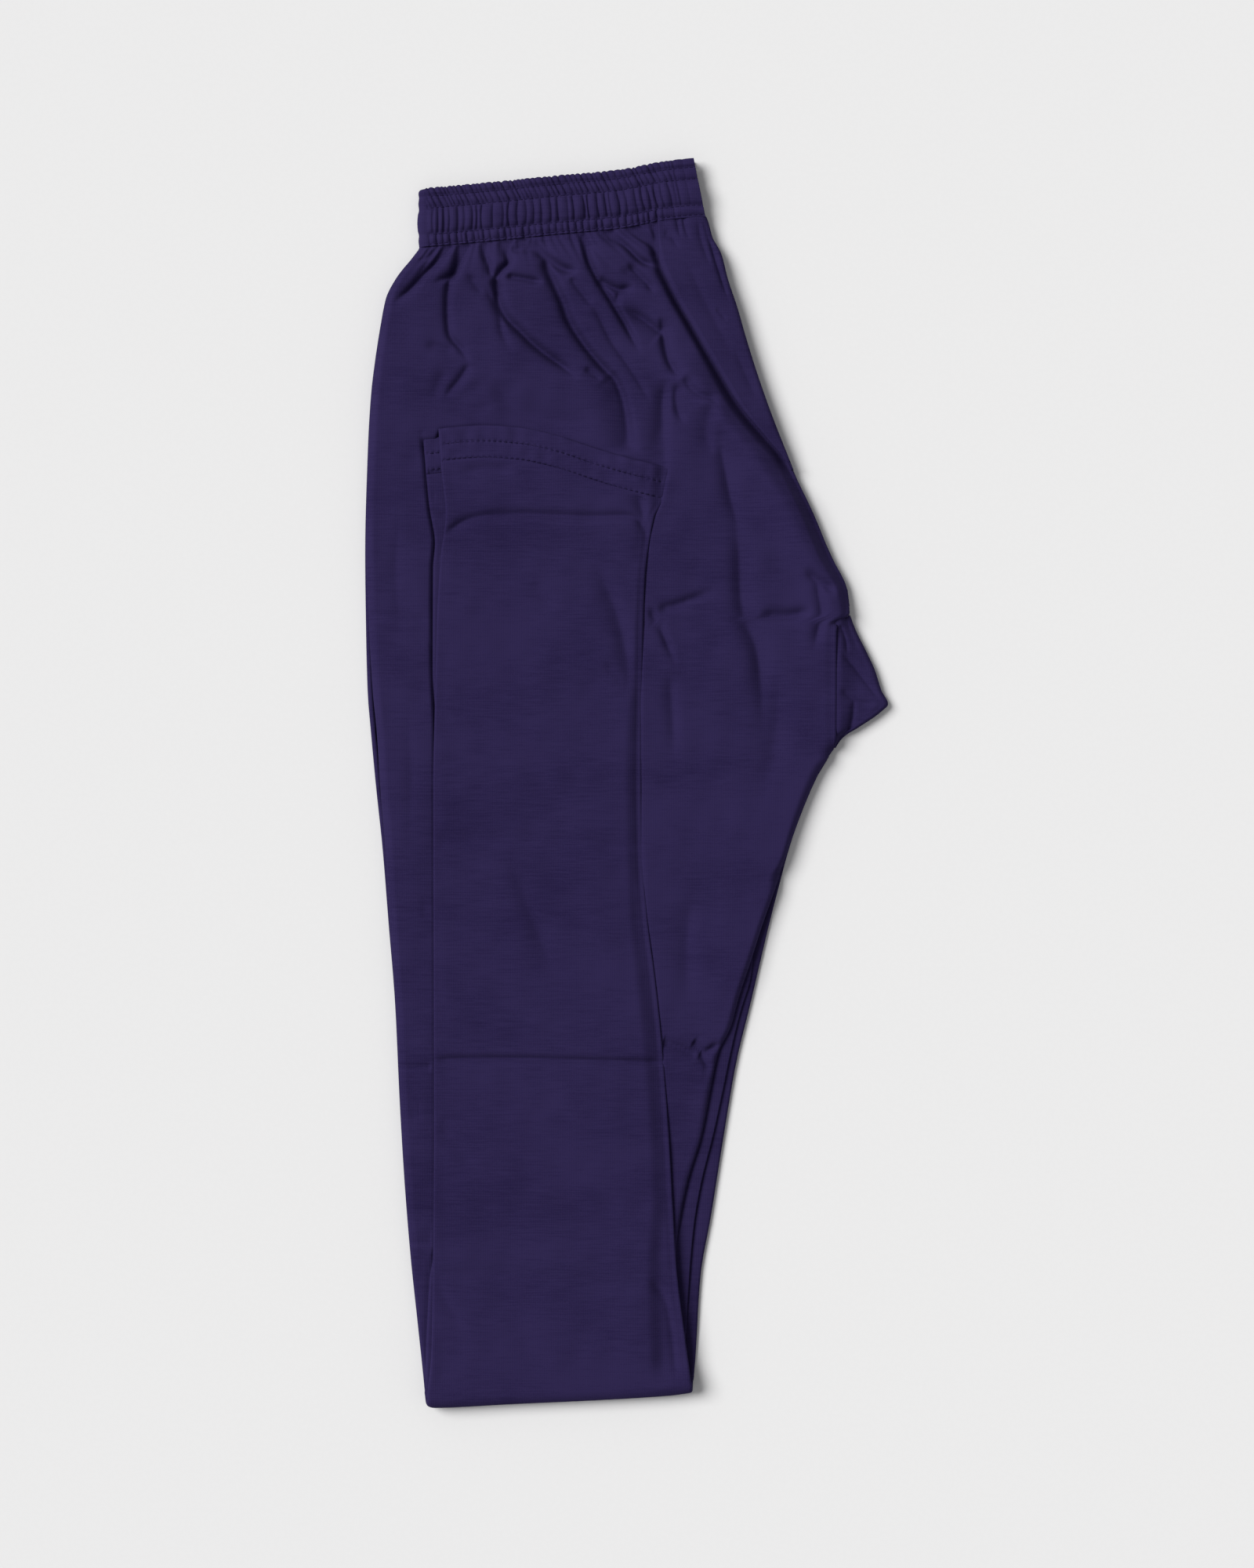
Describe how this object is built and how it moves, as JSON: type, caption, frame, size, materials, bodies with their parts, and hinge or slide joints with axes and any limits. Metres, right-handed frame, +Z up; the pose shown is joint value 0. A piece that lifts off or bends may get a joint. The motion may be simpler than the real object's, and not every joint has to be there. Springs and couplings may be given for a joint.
{
  "type": "churidar trousers",
  "caption": "Plain indigo stretch-jersey churidar trousers with a gathered elastic waistband and crotch gusset, folded leg on leg and up at the knee, lying flat.",
  "frame": {"origin": "bottom centre of the bounding box of the folded trousers, on the surface they lie on", "axes": "+Y from the knee fold up to the waistband, +X across towards the crotch gusset, +Z up from the surface"},
  "size_m": [0.2778, 0.6612, 0.0126],
  "materials": {
    "jersey": "matt, soft knitted nap"
  },
  "bodies": {
    "root": {"lower_leg": "jersey", "upper_leg": "jersey", "upper_calf": "jersey", "thigh_layers": "jersey", "rise_flap": "jersey", "gusset": "jersey", "lower_hem": "jersey", "upper_hem": "jersey", "waistband": "jersey", "band_layers": "jersey"}
  },
  "joints": []
}
